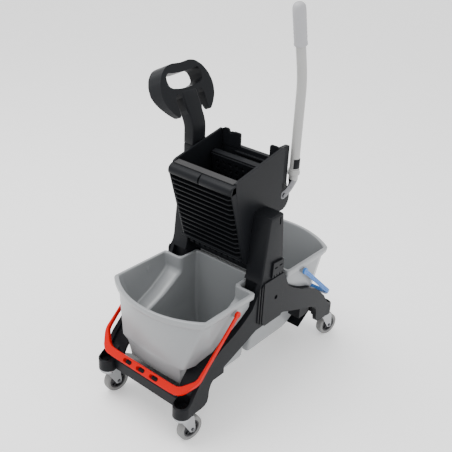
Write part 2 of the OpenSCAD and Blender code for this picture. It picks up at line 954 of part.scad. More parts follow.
// The fixed stem: a pin in the pod, the bearing cup and the riveted head under the crown.
module castor_stem() {
    head_h = 4;
    head_z = crown_top_z - crown_t - head_h;
    stem_top_z = pod_floor_z + 24;
    color(zinc) {
        translate([0, 0, head_z]) cylinder(r = stem_r, h = stem_top_z - head_z);
        translate([0, 0, pod_floor_z - cup_h]) cylinder(r = 29, h = cup_h);
        translate([0, 0, head_z - gap]) cylinder(r = 9, h = head_h);
    }
}

// The swivelling fork: a crown plate and two legs.
module castor_fork() {
    crown_low = crown_top_z - crown_t;
    color(zinc)
    difference() {
        union() {
            translate([0, 0, crown_low]) cylinder(r = 26, h = crown_t);
            translate([-fork_half_w, 0, crown_low]) cube([2 * fork_half_w, 34, crown_t]);
            for (x = [-fork_half_w, fork_half_w - fork_t])
                slab_x(x, x + fork_t) hull() {
                    translate([-14, crown_top_z - 2]) square([46, 2]);
                    translate([trail, axle_z]) circle(r = 8, $fn = hull_fn);
                }
        }
        translate([0, 0, crown_low - 1]) cylinder(r = stem_r + run, h = crown_t + 2);
        bar_x(-fork_half_w - 1, fork_half_w + 1, trail, axle_z, axle_r);
    }
}

module castor_axle() {
    color(zinc) {
        bar_x(-fork_half_w - 1, fork_half_w + 1, trail, axle_z, axle_r);
        for (x = [-fork_half_w - 4, fork_half_w]) bar_x(x, x + 4, trail, axle_z, 6.5);
    }
}

module castor_hub() {
    color(black)
    translate([0, trail, axle_z]) rotate([0, 90, 0])
        difference() {
            union() {
                cylinder(r = hub_r, h = wheel_w - 5, center = true);
                cylinder(r = 10, h = wheel_w + 5, center = true);
            }
            cylinder(r = axle_r + run, h = 60, center = true);
        }
}

module castor_tyre() {
    tread = wheel_dia / 2;
    color([0.6, 0.6, 0.58])
    translate([0, trail, axle_z]) rotate([0, 90, 0])
        rotate_extrude()
            polygon([[hub_r, -wheel_w / 2 + 3], [hub_r + 4, -wheel_w / 2], [tread - 5, -wheel_w / 2],
                [tread - 1, -wheel_w / 2 + 4], [tread, -4], [tread, 4], [tread - 1, wheel_w / 2 - 4],
                [tread - 5, wheel_w / 2], [hub_r + 4, wheel_w / 2], [hub_r, wheel_w / 2 - 3]]);
}

lifted() side_frame_right();
lifted() side_frame_left();
lifted() cross_member_front();
lifted() cross_member_rear();
lifted() tower_right();
lifted() tower_left();
lifted() pad_right();
lifted() pad_left();
lifted() clip_plate_right();
lifted() clip_plate_left();
lifted() centre_bridge();
lifted() bucket_guides();
lifted() handle_stub();
lifted() handle_loop();
lifted() bucket_front();
lifted() bucket_rear();
lifted() bail_front();
lifted() bail_rear();
lifted() wringer_front();
lifted() wringer_lip();
lifted() wringer_cheek_right();
lifted() wringer_cheek_left();
lifted() wringer_floor();
lifted() wringer_back();
lifted() wringer_bolts();
lifted() rear_casing();
lifted() shaft_bushes();
lifted() press_plate();
lifted() press_yokes();
lifted() lever_shaft();
lifted() cranks();
lifted() lever_end();
lifted() lever_tube();
lifted() lever_collar();
lifted() lever_band();
lifted() lever_grip();
at_castor(castor_fl) castor_stem();  // castor_stem_fl
at_castor(castor_fl) castor_fork();  // castor_fork_fl
at_castor(castor_fl) castor_axle();  // castor_axle_fl
at_castor(castor_fl) castor_hub();  // castor_hub_fl
at_castor(castor_fl) castor_tyre();  // castor_tyre_fl
at_castor(castor_fr) castor_stem();  // castor_stem_fr
at_castor(castor_fr) castor_fork();  // castor_fork_fr
at_castor(castor_fr) castor_axle();  // castor_axle_fr
at_castor(castor_fr) castor_hub();  // castor_hub_fr
at_castor(castor_fr) castor_tyre();  // castor_tyre_fr
at_castor(castor_rl) castor_stem();  // castor_stem_rl
at_castor(castor_rl) castor_fork();  // castor_fork_rl
at_castor(castor_rl) castor_axle();  // castor_axle_rl
at_castor(castor_rl) castor_hub();  // castor_hub_rl
at_castor(castor_rl) castor_tyre();  // castor_tyre_rl
at_castor(castor_rr) castor_stem();  // castor_stem_rr
at_castor(castor_rr) castor_fork();  // castor_fork_rr
at_castor(castor_rr) castor_axle();  // castor_axle_rr
at_castor(castor_rr) castor_hub();  // castor_hub_rr
at_castor(castor_rr) castor_tyre();  // castor_tyre_rr
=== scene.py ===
import json
import math

import bmesh
import bpy
from mathutils import Matrix, Vector


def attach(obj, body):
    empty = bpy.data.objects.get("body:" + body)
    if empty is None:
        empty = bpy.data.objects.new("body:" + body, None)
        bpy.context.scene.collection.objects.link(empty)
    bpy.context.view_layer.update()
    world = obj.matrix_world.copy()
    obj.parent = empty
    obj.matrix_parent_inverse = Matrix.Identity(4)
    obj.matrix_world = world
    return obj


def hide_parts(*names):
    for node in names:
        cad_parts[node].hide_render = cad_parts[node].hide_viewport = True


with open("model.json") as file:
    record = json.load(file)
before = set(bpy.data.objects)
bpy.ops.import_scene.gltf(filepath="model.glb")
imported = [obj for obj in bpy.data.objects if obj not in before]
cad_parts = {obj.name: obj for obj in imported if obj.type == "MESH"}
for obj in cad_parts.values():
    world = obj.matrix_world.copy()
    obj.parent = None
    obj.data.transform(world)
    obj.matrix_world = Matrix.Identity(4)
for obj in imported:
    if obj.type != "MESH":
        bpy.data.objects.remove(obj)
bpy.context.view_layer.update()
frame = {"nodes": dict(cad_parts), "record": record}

# ---------------------------------------------------------------- camera, floor and light


CAMERA_PLACE = Vector((1.306, -1.622, 1.645))
AZIMUTH, PITCH, ROLL = math.radians(39.0), math.radians(27.7), math.radians(2.83)
SENSOR_WIDTH = 36
FOCAL_RATIO = 721 / 452  # focal length over the width of the picture
FLOOR_HALF = 30


def make_camera():
    """The photograph's camera, which looks across the trolley and down, and is turned a little."""
    level = math.cos(PITCH)
    forward = Vector((-math.sin(AZIMUTH) * level, math.cos(AZIMUTH) * level, -math.sin(PITCH)))
    right = Vector((math.cos(AZIMUTH), math.sin(AZIMUTH), 0))
    up = right.cross(forward)
    side = right * math.cos(ROLL) + up * math.sin(ROLL)
    top = -right * math.sin(ROLL) + up * math.cos(ROLL)
    data = bpy.data.cameras.new("camera")
    data.sensor_width = SENSOR_WIDTH
    data.lens = FOCAL_RATIO * SENSOR_WIDTH
    data.clip_end = 2 * FLOOR_HALF
    cam = bpy.data.objects.new("camera", data)
    cam.matrix_world = Matrix((side, top, -forward)).transposed().to_4x4()
    cam.matrix_world.translation = CAMERA_PLACE
    bpy.context.scene.collection.objects.link(cam)
    bpy.context.scene.camera = cam


def area_light(name, place, target, size, power):
    """A round soft light at a place, turned to a target."""
    data = bpy.data.lights.new(name, "AREA")
    data.shape = "DISK"
    data.size = size
    data.energy = power
    light = bpy.data.objects.new(name, data)
    light.location = place
    light.rotation_euler = (Vector(target) - Vector(place)).to_track_quat("-Z", "Y").to_euler()
    bpy.context.scene.collection.objects.link(light)


def make_stage():
    """A pale floor, a white sky and two soft lights."""
    mesh = bpy.data.meshes.new("floor")
    s = FLOOR_HALF
    mesh.from_pydata([(-s, -s, 0), (s, -s, 0), (s, s, 0), (-s, s, 0)], [], [(0, 1, 2, 3)])
    floor = bpy.data.objects.new("floor", mesh)
    bpy.context.scene.collection.objects.link(floor)
    mat = bpy.data.materials.new("floor")
    mat.use_nodes = True
    shader = mat.node_tree.nodes["Principled BSDF"]
    shader.inputs["Base Color"].default_value = (0.92, 0.92, 0.92, 1)
    shader.inputs["Roughness"].default_value = 0.7
    shader.inputs["Emission Color"].default_value = (1, 1, 1, 1)
    shader.inputs["Emission Strength"].default_value = 0.3
    mesh.materials.append(mat)
    world = bpy.data.worlds.new("world")
    bpy.context.scene.world = world
    world.use_nodes = True
    back = world.node_tree.nodes["Background"]
    back.inputs["Color"].default_value = (1, 1, 1, 1)
    back.inputs["Strength"].default_value = 1.45
    area_light("overhead", (-1.0, -0.6, 3.6), (0, 0, 0.2), 2.4, 110)
    area_light("right", (3.2, 0.9, 1.5), (0, 0, 0.4), 1.6, 12)


make_camera()
make_stage()

# ---------------------------------------------------------------- materials


def plastic(name, base, roughness, grain=900.0, bump=0.05, mottle=0.08, spec=0.5):
    """A moulded plastic: fine grain in bump, and slow variation in colour and gloss."""
    mat = bpy.data.materials.new(name)
    mat.use_nodes = True
    tree = mat.node_tree
    shader = tree.nodes["Principled BSDF"]
    coords = tree.nodes.new("ShaderNodeTexCoord")
    slow = tree.nodes.new("ShaderNodeTexNoise")
    slow.inputs["Scale"].default_value = 6
    slow.inputs["Detail"].default_value = 4
    fine = tree.nodes.new("ShaderNodeTexNoise")
    fine.inputs["Scale"].default_value = grain
    fine.inputs["Detail"].default_value = 2
    for n in (slow, fine):
        tree.links.new(coords.outputs["Object"], n.inputs["Vector"])
    ramp = tree.nodes.new("ShaderNodeValToRGB")
    dark = [c * (1 - mottle) for c in base]
    light = [min(1, c * (1 + mottle)) for c in base]
    ramp.color_ramp.elements[0].position = 0.3
    ramp.color_ramp.elements[0].color = (*dark, 1)
    ramp.color_ramp.elements[1].position = 0.7
    ramp.color_ramp.elements[1].color = (*light, 1)
    tree.links.new(slow.outputs["Fac"], ramp.inputs["Fac"])
    tree.links.new(ramp.outputs["Color"], shader.inputs["Base Color"])
    gloss = tree.nodes.new("ShaderNodeMapRange")
    gloss.inputs["From Min"].default_value = 0.3
    gloss.inputs["From Max"].default_value = 0.7
    gloss.inputs["To Min"].default_value = roughness * 0.92
    gloss.inputs["To Max"].default_value = min(1, roughness * 1.1)
    tree.links.new(fine.outputs["Fac"], gloss.inputs["Value"])
    tree.links.new(gloss.outputs["Result"], shader.inputs["Roughness"])
    relief = tree.nodes.new("ShaderNodeBump")
    relief.inputs["Strength"].default_value = bump
    relief.inputs["Distance"].default_value = 0.0004
    tree.links.new(fine.outputs["Fac"], relief.inputs["Height"])
    tree.links.new(relief.outputs["Normal"], shader.inputs["Normal"])
    shader.inputs["Specular IOR Level"].default_value = spec
    return mat


def metal(name, base, roughness):
    """A plated or painted metal, made as a plastic is, with fine scratches in its bump."""
    mat = plastic(name, base, roughness, grain=300, bump=0.06, mottle=0.05)
    mat.node_tree.nodes["Principled BSDF"].inputs["Metallic"].default_value = 1
    return mat


MATS = {
    "black_plastic": plastic("black_plastic", (0.0072, 0.0079, 0.0095), 0.40,
                             bump=0.12, mottle=0.12, spec=0.10),
    "bucket_grey": plastic("bucket_grey", (0.252, 0.262, 0.27), 0.30, bump=0.04, mottle=0.03, spec=0.45),
    "red_plastic": plastic("red_plastic", (0.52, 0.001, 0.0), 0.36, bump=0.04, mottle=0.04, spec=0.10),
    "blue_plastic": plastic("blue_plastic", (0.05, 0.18, 0.50), 0.36, bump=0.05, mottle=0.05, spec=0.3),
    "grey_plastic": plastic("grey_plastic", (0.034, 0.0338, 0.035), 0.55, bump=0.1, mottle=0.06, spec=0.2),
    "lever_paint": plastic("lever_paint", (0.345, 0.345, 0.34), 0.38, grain=500, bump=0.06, mottle=0.02),
    "grip_plastic": plastic("grip_plastic", (0.33, 0.33, 0.345), 0.5, bump=0.1, mottle=0.03),
    "zinc_steel": metal("zinc_steel", (0.155, 0.155, 0.165), 0.3),
    "castor_chrome": metal("castor_chrome", (0.33, 0.335, 0.345), 0.13),
    "tyre_rubber": plastic("tyre_rubber", (0.17, 0.17, 0.168), 0.62, grain=700, bump=0.15, mottle=0.06),
    "hub_plastic": plastic("hub_plastic", (0.015, 0.015, 0.017), 0.4, bump=0.06, mottle=0.05),
}

for entry in frame["record"]["subparts"]:
    cad = frame["nodes"][entry["node"]]
    cad.data.materials.clear()
    cad.data.materials.append(MATS[entry["material_slot"]])

# ---------------------------------------------------------------- mesh helpers

MM = 0.001
DATUM = 11  # heights below, except the castors', are measured from a plane this far above the floor


def finish_piece(name, bm, body, slot, replaces=(), angle=35, bevel=0.0, steps=3, lift=DATUM):
    """Turns a bmesh in millimetres into a named piece that rides on a body."""
    bmesh.ops.remove_doubles(bm, verts=bm.verts, dist=0.01)
    bmesh.ops.recalc_face_normals(bm, faces=bm.faces)
    bmesh.ops.translate(bm, vec=(0, 0, lift), verts=bm.verts)
    bmesh.ops.scale(bm, vec=(MM, MM, MM), verts=bm.verts)
    mesh = bpy.data.meshes.new(name)
    bm.to_mesh(mesh)
    bm.free()
    obj = bpy.data.objects.new(name, mesh)
    bpy.context.scene.collection.objects.link(obj)
    mesh.polygons.foreach_set("use_smooth", [True] * len(mesh.polygons))
    if bevel:
        mod = obj.modifiers.new("edges", "BEVEL")
        mod.width = bevel * MM
        mod.segments = steps
        mod.limit_method = "ANGLE"
        mod.angle_limit = math.radians(angle)
        shade = obj.modifiers.new("shading", "WEIGHTED_NORMAL")
        shade.weight = 90
    else:
        mesh.set_sharp_from_angle(angle=math.radians(angle))
    mesh.materials.append(MATS[slot])
    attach(obj, body)
    if replaces:
        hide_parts(*replaces)
    return obj


def add_loft(bm, rings, caps=(True, True), closed=False):
    """Skins rings of equal length; each ring is a closed loop of 3-D points."""
    loops = [[bm.verts.new(p) for p in ring] for ring in rings]
    pairs = list(zip(loops, loops[1:])) + ([(loops[-1], loops[0])] if closed else [])
    count = len(loops[0])
    for a, b in pairs:
        for i in range(count):
            j = (i + 1) % count
            bm.faces.new((a[i], a[j], b[j], b[i]))
    if caps[0] and not closed:
        bm.faces.new(list(reversed(loops[0])))
    if caps[1] and not closed:
        bm.faces.new(loops[-1])


def rounded(points, radii, steps=5):
    """A closed outline with its corners turned into arcs; always steps + 1 points for a corner."""
    out = []
    n = len(points)
    for i, p in enumerate(points):
        p = Vector(p)
        a = Vector(points[i - 1]) - p
        b = Vector(points[(i + 1) % n]) - p
        radius = radii[i] if isinstance(radii, (list, tuple)) else radii
        if radius <= 0:
            out.append(p)
            continue
        la, lb = max(a.length, 1e-6), max(b.length, 1e-6)
        turn = math.pi - a.angle(b, 0.0) if a.length > 1e-6 and b.length > 1e-6 else 0
        t = min(radius * math.tan(turn / 2), la * 0.49, lb * 0.49)
        start, end = p + a / la * t, p + b / lb * t
        for k in range(steps + 1):
            s = k / steps
            out.append(start * (1 - s) ** 2 + p * 2 * s * (1 - s) + end * s * s)
    return out


def interp(table, x):
    """Straight-line interpolation in a list of (x, y) pairs sorted by x."""
    if x <= table[0][0]:
        return table[0][1]
    for (x0, y0), (x1, y1) in zip(table, table[1:]):
        if x <= x1:
            return y0 + (y1 - y0) * (x - x0) / (x1 - x0)
    return table[-1][1]


def prism(bm, outline, lo, hi, axis="x"):
    """A solid slab: an outline of (across, height) points drawn across `axis`, from lo to hi."""
    if axis == "x":
        add_loft(bm, [[(t, u, v) for u, v in outline] for t in (lo, hi)])
    else:
        add_loft(bm, [[(u, t, v) for u, v in outline] for t in (lo, hi)])


def circle(radius, count):
    """Points around a circle."""
    turns = [2 * math.pi * k / count for k in range(count)]
    return [(radius * math.cos(t), radius * math.sin(t)) for t in turns]


def lathe(bm, profile, origin, axis, count=48):
    """Spins a closed profile of (radius, height) points about an axis through origin."""
    axis = Vector(axis).normalized()
    side = axis.orthogonal().normalized()
    other = axis.cross(side)
    origin = Vector(origin)
    rings = []
    for k in range(count):
        t = 2 * math.pi * k / count
        out = side * math.cos(t) + other * math.sin(t)
        rings.append([origin + out * r + axis * h for r, h in profile])
    add_loft(bm, rings, closed=True)


# ---------------------------------------------------------------- buckets

FOOT_Z, RIM_Z, WALL = 72, 411, 3
SHOULDER_Z = 224
BAIL_PIVOT = (180, 377)  # distance along the trolley, and height
# how far out the sloping pocket floor reaches at each height
POCKET_FLOOR = [(210, 320), (SHOULDER_Z, 306), (231, 300), (263, 268), (280, 236), (304, 178), (330, 134),
                (353, 101), (362, 96)]


def bucket_ring(z, inset, end):
    """One level of a bucket, as a closed T-shaped outline. end is -1 for the front bucket."""
    rise = min(max((z - SHOULDER_Z) / (RIM_Z - SHOULDER_Z), 0), 1)
    column = interp([(FOOT_Z, 104), (150, 112), (SHOULDER_Z, 118)], z) - inset
    ear_y = interp(POCKET_FLOOR, z - max(inset, 0)) + inset
    wide = interp([(212, 0), (SHOULDER_Z + 2, 1)], z - max(inset, 0))
    corner_x = 136 + 52 * rise - inset
    corner_x = column + (corner_x - column) * wide
    corner_y = interp([(FOOT_Z, 216), (150, 330), (SHOULDER_Z, 345), (RIM_Z, 314)], z) - inset
    bow = interp([(FOOT_Z, 4), (150, 6), (SHOULDER_Z, 9), (RIM_Z, 68)], z)
    side_line = [(250 + 50 * rise, 172 + 16 * rise - inset), (297 + 10 * rise, 150 + 38 * rise - inset),
                 (corner_y, corner_x)]
    ear_y = min(ear_y, corner_y - 8)

    def side_x(y):
        return column + max(interp(side_line, y) - column, 0) * wide

    ys = [ear_y, max(side_line[0][0], ear_y + 2), max(side_line[1][0], ear_y + 4), corner_y]
    ys[2] = min(ys[2], corner_y - 2)
    ys[1] = min(ys[1], ys[2] - 1)
    half = [(column, 15 + inset), (column, ear_y), (side_x(ys[0]), ys[0]), (side_x(ys[1]), ys[1]),
            (side_x(ys[2]), ys[2]), (corner_x, corner_y)]
    radii = [12, 20, 10, 24, 20, 16]
    steps = 12
    radius = (corner_x * corner_x + bow * bow) / (2 * bow)
    arc = []
    for k in range(1, steps):
        x = corner_x * (1 - k / steps)
        arc.append((x, corner_y + math.sqrt(radius * radius - x * x) - (radius - bow)))
    centre = [(0, corner_y + bow)]
    points = half + arc + centre + [(-x, y) for x, y in reversed(arc)] + [(-x, y) for x, y in reversed(half)]
    rads = radii + [0] * (2 * len(arc) + 1) + list(reversed(radii))
    flat = rounded([Vector((x, y, 0)) for x, y in points], rads, 6)
    return [Vector((p.x, p.y * end, z)) for p in flat]


def make_bucket(name, end):
    """A bucket as one skin: up the outside, round the rolled rim, down the inside; and its bail bosses."""
    bm = bmesh.new()
    levels = [96, 110, 125, 140, 150, 160, 175, 190, 205, 212, 216, 220, 226, 230]
    levels += list(range(236, 400, 5)) + [405]
    foot = ((FOOT_Z, 20), (FOOT_Z, 12), (73.5, 6), (77, 2.4), (84, 0.5))
    rim = ((408, -0.5), (408.4, -5), (405, -5.6), (390, -5.6), (389, -6), (388.8, -7.4), (389.6, -8),
           (400, -8.4), (407.5, -8.2), (410, -7), (RIM_Z, -4.8), (RIM_Z, -1), (410.5, 1.6), (408.6, 2.8))
    floor = ((86, 4.5), (79, 8), (76, 13), (75, 22))
    rings = [bucket_ring(z, inset, end) for z, inset in foot]
    rings += [bucket_ring(z, 0, end) for z in levels]
    rings += [bucket_ring(z, inset, end) for z, inset in rim]
    rings += [bucket_ring(z, WALL, end) for z in reversed(levels)]
    rings += [bucket_ring(z, inset, end) for z, inset in floor]
    add_loft(bm, rings)
    for side in (-1, 1):
        boss = [(6.2, 1), (6.2, 12.3), (7.2, 13), (10, 13), (11, 12), (11, -3), (0.5, -3), (0.5, 1)]
        lathe(bm, boss, (side * 183, end * BAIL_PIVOT[0], BAIL_PIVOT[1]), (side, 0, 0), 32)
    return finish_piece(name, bm, name, "bucket_grey", (name,), angle=42)


make_bucket("bucket_front", -1)
make_bucket("bucket_rear", 1)

# ---------------------------------------------------------------- bails

BAIL_DROP = math.radians(43)
BAIL_SIDE, BAIL_REACH = 201.5, 290


def bail_point(x, out, lift, end):
    """From a bail's own plane - across, away from the pivots, and up off the plane - to the trolley."""
    y = BAIL_PIVOT[0] + out * math.cos(BAIL_DROP) + lift * math.sin(BAIL_DROP)
    z = BAIL_PIVOT[1] - out * math.sin(BAIL_DROP) + lift * math.cos(BAIL_DROP)
    return Vector((x, y * end, z))


def bail_path():
    """Half of the bail's run, from the right pivot to the middle of the grip, as (x, out) points."""
    corners = [Vector(p) for p in ((BAIL_SIDE, 0), (BAIL_SIDE, 236), (158, 289), (0, BAIL_REACH))]
    bends = []
    for before, p, after, reach in ((*corners[:3], 15), (*corners[1:], 22)):
        s, e = p + (before - p).normalized() * reach, p + (after - p).normalized() * reach
        bends += [s * (1 - k / 8) ** 2 + p * 2 * (k / 8) * (1 - k / 8) + e * (k / 8) ** 2 for k in range(9)]
    leg = [Vector((BAIL_SIDE, y)) for y in (6, 40, 90, 140, 180)]
    return leg + bends + [Vector((x, BAIL_REACH)) for x in (118, 84, 42, 0)]


def bail_section(width, grooves):
    """Cross-section of the band, 16 thick, with rounded edges and two shallow grooves on its outside."""
    w, t, r = width / 2, 8, 2.2
    face = [(w, -t + r), (w, -5.4), (w - grooves, -4.4), (w - grooves, -2.8), (w, -1.8), (w, 1.8),
            (w - grooves, 2.8), (w - grooves, 4.4), (w, 5.4), (w, t - r)]
    return face + [(w - r, t), (-w + r, t), (-w, t - r), (-w, -t + r), (-w + r, -t), (w - r, -t)]


def make_bail(name, end, slot, grooves):
    """A flat band bent round the bucket, with a pin at each end and three ovals cut in its grip."""
    bm = bmesh.new()
    half = bail_path()
    line = half + [Vector((-p.x, p.y)) for p in reversed(half[:-1])]
    rings = []
    for i, p in enumerate(line):
        a, b = line[max(i - 1, 0)], line[min(i + 1, len(line) - 1)]
        tangent = (b - a).normalized()
        outward = Vector((tangent.y, -tangent.x))
        if outward.dot(Vector((p.x / 200, p.y / 200 - 0.6))) < 0:
            outward = -outward
        width = interp([(0, 7), (200, 7), (236, 12), (286, 26), (310, 26)], p.y)
        shift = interp([(0, 0), (236, -1), (286, 0)], p.y)
        rings.append([bail_point(p.x + outward.x * (u + shift), p.y + outward.y * (u + shift), v, end)
                      for u, v in bail_section(width, grooves)])
    add_loft(bm, rings)
    pin = [(0.5, -2), (5.9, -2), (5.9, 13), (10.4, 13), (11.2, 14), (11.2, 20), (10.2, 21.2), (3, 21.2),
           (2.4, 20), (0.5, 20)]
    for side in (-1, 1):
        lathe(bm, pin, bail_point(side * 184, 0, 0, end), (side, 0, 0), 32)
    piece = finish_piece(name, bm, name, slot, (name,), angle=38)
    cut = bmesh.new()
    for i in (-1, 0, 1):
        turns = [(1, d) for d in range(-90, 91, 15)] + [(-1, d) for d in range(90, 271, 15)]
        oval = [(i * 58 + s * 11 + 7 * math.cos(math.radians(d)), 291 + 7 * math.sin(math.radians(d)))
                for s, d in turns]
        add_loft(cut, [[bail_point(x, y, lift, end) for x, y in oval] for lift in (-12, 12)])
    boolean_cut(piece, cut)
    return piece


def boolean_cut(piece, cut):
    """Takes the solids of a bmesh in millimetres out of a piece, and applies the result to its mesh."""
    bmesh.ops.recalc_face_normals(cut, faces=cut.faces)
    bmesh.ops.translate(cut, vec=(0, 0, DATUM), verts=cut.verts)
    bmesh.ops.scale(cut, vec=(MM, MM, MM), verts=cut.verts)
    mesh = bpy.data.meshes.new("cut")
    cut.to_mesh(mesh)
    cut.free()
    tool = bpy.data.objects.new("cut", mesh)
    bpy.context.scene.collection.objects.link(tool)
    mod = piece.modifiers.new("cut", "BOOLEAN")
    mod.object = tool
    mod.solver = "EXACT"
    mod.operation = "DIFFERENCE"
    mod.use_self = True
    bpy.context.view_layer.update()
    depsgraph = bpy.context.evaluated_depsgraph_get()
    result = bpy.data.meshes.new_from_object(piece.evaluated_get(depsgraph), depsgraph=depsgraph)
    piece.modifiers.remove(mod)
    old = piece.data
    piece.data = result
    result.name = old.name
    bpy.data.meshes.remove(old)
    bpy.data.objects.remove(tool)
    bpy.data.meshes.remove(mesh)
    piece.data.set_sharp_from_angle(angle=math.radians(38))


make_bail("bail_front", -1, "red_plastic", 0.0)
make_bail("bail_rear", 1, "blue_plastic", 1.4)

# ---------------------------------------------------------------- castors

# place of each castor, and the angle its wheel trails at
CASTORS = {"fl": (-168, -385, -8), "fr": (168, -385, -8), "rl": (-168, 385, -10), "rr": (168, 385, -12)}
TRAIL, WHEEL_R = 30, 42.5


def placed(bm, tag):
    """Moves a castor part, drawn at its pivot with the trail along +Y, to its corner."""
    x, y, heading = CASTORS[tag]
    turn = Matrix.Rotation(math.radians(heading), 3, "Z")
    bmesh.ops.rotate(bm, cent=(0, 0, 0), matrix=turn, verts=bm.verts)
    bmesh.ops.translate(bm, vec=(x, y, 0), verts=bm.verts)
    return bm


def make_castor_stem(tag):
    """The stem, and the bearing cup with its rolled edge and ball-race groove."""
    bm = bmesh.new()
    cup = [(0.2, 109), (26, 109), (28.6, 108.6), (30.2, 107.2), (30.4, 105.2), (29.2, 104), (28.4, 103.2),
           (28.8, 101.6), (27.6, 100.2), (22, 100.1), (0.2, 100.1)]
    lathe(bm, cup, (0, 0, 0), (0, 0, 1))
    stem = [(0.2, 90.2), (6, 90.2), (8.6, 91), (9, 92.6), (8.6, 94.2), (5.4, 94.4), (5.4, 132), (4.6, 133),
            (0.2, 133)]
    lathe(bm, stem, (0, 0, 0), (0, 0, 1), 24)
    name = "castor_stem_" + tag
    finish_piece(name, placed(bm, tag), "chassis", "castor_chrome", (name,), 30, lift=0)


def make_castor_fork(tag):
    """Crown and two triangular legs, pressed from one sheet."""
    bm = bmesh.new()
    crown = [(5.6, 94.9), (23, 94.9), (25.6, 95.6), (26.4, 97), (25.8, 98.6), (23.6, 99.6), (5.6, 99.6)]
    lathe(bm, crown, (0, 0, 0), (0, 0, 1))
    leg = rounded([(-17, 98.6), (-11, 89), (21, 35.5), (39, 35.5), (39.5, 48), (36, 80), (33, 98.6)],
                  [5, 14, 8, 8, 6, 20, 4], 5)
    web = rounded([(-15, 95), (24, 95), (33, 95), (33, 99.4), (-15, 99.4)], 1.0, 2)
    for side in (-1, 1):
        prism(bm, leg, side * 17.0, side * 19.5)
        prism(bm, web, side * 8, side * 19.4)
    name = "castor_fork_" + tag
    finish_piece(name, placed(bm, tag), "swivel_" + tag, "castor_chrome", (name,), bevel=0.7, lift=0)


def make_castor_axle(tag):
    """The axle, with a bolt head and a nut."""
    bm = bmesh.new()
    hexagon = [(TRAIL + u, WHEEL_R + v) for u, v in circle(6.3, 6)]
    for side in (-1, 1):
        prism(bm, hexagon, side * 19.6, side * 23.2)
    lathe(bm, [(0.2, -21), (3.9, -21), (3.9, 21), (0.2, 21)], (0, TRAIL, WHEEL_R), (1, 0, 0), 24)
    name = "castor_axle_" + tag
    finish_piece(name, placed(bm, tag), "swivel_" + tag, "zinc_steel", (name,), bevel=0.5, lift=0)


def add_hub_rib(bm, angle, side):
    """A tapered rib on one face of the hub's web."""
    centre = Vector((0, TRAIL, WHEEL_R))
    out = Vector((0, math.cos(angle), math.sin(angle)))
    across = Vector((0, -math.sin(angle), math.cos(angle)))
    verts = []
    for radius, half in ((9, 2), (25, 1.4)):
        for x in (4, 9.6):
            for s in (-1, 1):
                place = centre + Vector((side * x, 0, 0)) + out * radius + across * half * s
                verts.append(bm.verts.new(place))
    for face in ((0, 1, 3, 2), (4, 6, 7, 5), (0, 4, 5, 1), (2, 3, 7, 6), (0, 2, 6, 4), (1, 5, 7, 3)):
        bm.faces.new([verts[i] for i in face])


def make_castor_hub(tag):
    """A dished web with five ribs on each face, a rim and a boss."""
    bm = bmesh.new()
    half = [(4.1, -15), (8.6, -15), (9.4, -14.2), (9.6, -6), (23, -4), (25.4, -10.6), (26.4, -11.2),
            (30, -11.2)]
    lathe(bm, half + [(r, -h) for r, h in reversed(half)], (0, TRAIL, WHEEL_R), (1, 0, 0))
    for k in range(5):
        for side in (-1, 1):
            add_hub_rib(bm, 2 * math.pi * k / 5 + 0.3, side)
    name = "castor_hub_" + tag
    finish_piece(name, placed(bm, tag), "wheel_" + tag, "hub_plastic", (name,), 30, lift=0)


def make_castor_tyre(tag):
    """A grey tyre with rounded shoulders."""
    bm = bmesh.new()
    profile = [(30, -11.4), (34, -13), (38, -13.5), (40.2, -12.6), (41.7, -10.4), (42.3, -7), (WHEEL_R, -3),
               (WHEEL_R, 0)]
    profile += [(r, -h) for r, h in reversed(profile[:-1])]
    lathe(bm, profile, (0, TRAIL, WHEEL_R), (1, 0, 0), 64)
    name = "castor_tyre_" + tag
    finish_piece(name, placed(bm, tag), "wheel_" + tag, "tyre_rubber", (name,), 50, lift=0)


for corner in CASTORS:
    make_castor_stem(corner)
    make_castor_fork(corner)
    make_castor_axle(corner)
    make_castor_hub(corner)
    make_castor_tyre(corner)

# ---------------------------------------------------------------- lever

LEVER_X, LEVER_Y, BEND_Z, LEVER_LEAN = 120, 175, 1020, math.radians(13)


def lever_line(height):
    """A point on the lever's centre line, by its height, with the bend rounded off."""
    soft = 46
    d = height - BEND_Z
    if d <= -soft:
        back = 0
    elif d >= soft:
        back = d
    else:
        back = (d + soft) ** 2 / (4 * soft)
    return Vector((LEVER_X, LEVER_Y - back * math.tan(LEVER_LEAN), height))


def lever_piece(name, stations, slot, angle=35):
    """A round piece on the lever's centre line, from (height, radius) stations."""
    bm = bmesh.new()
    path = [lever_line(h) for h, r in stations]
    rings = []
    for (h, r), p in zip(stations, path):
        tangent = (lever_line(h + 1) - lever_line(h - 1)).normalized()
        side = Vector((1, 0, 0))
        rise = tangent.cross(side)
        rings.append([p + side * a + rise * b for a, b in circle(r, 40)])
    add_loft(bm, rings)
    return finish_piece(name, bm, "lever", slot, (name,), angle=angle)


TUBE_R = 15.5
GRIP_LOW, GRIP_TOP = 1130, 1257.6


def grip_stations():
    """The grip's collar, its six shallow rings and its domed end."""
    collar = [(0, 15.7), (0, 19.4), (1.6, 20.6), (4, 21), (8, 20.8), (12, 20)]
    stations = [(GRIP_LOW + up, r) for up, r in collar]
    for k in range(6):
        h = GRIP_LOW + 20 + k * 12
        stations += [(h, 19.8), (h + 4, 20.4), (h + 8, 20.4)]
    dome = [(24, 20.3), (17, 20), (10, 18.2), (5, 14.6), (2, 10), (0.4, 4)]
    return stations + [(GRIP_TOP - down, r) for down, r in dome]


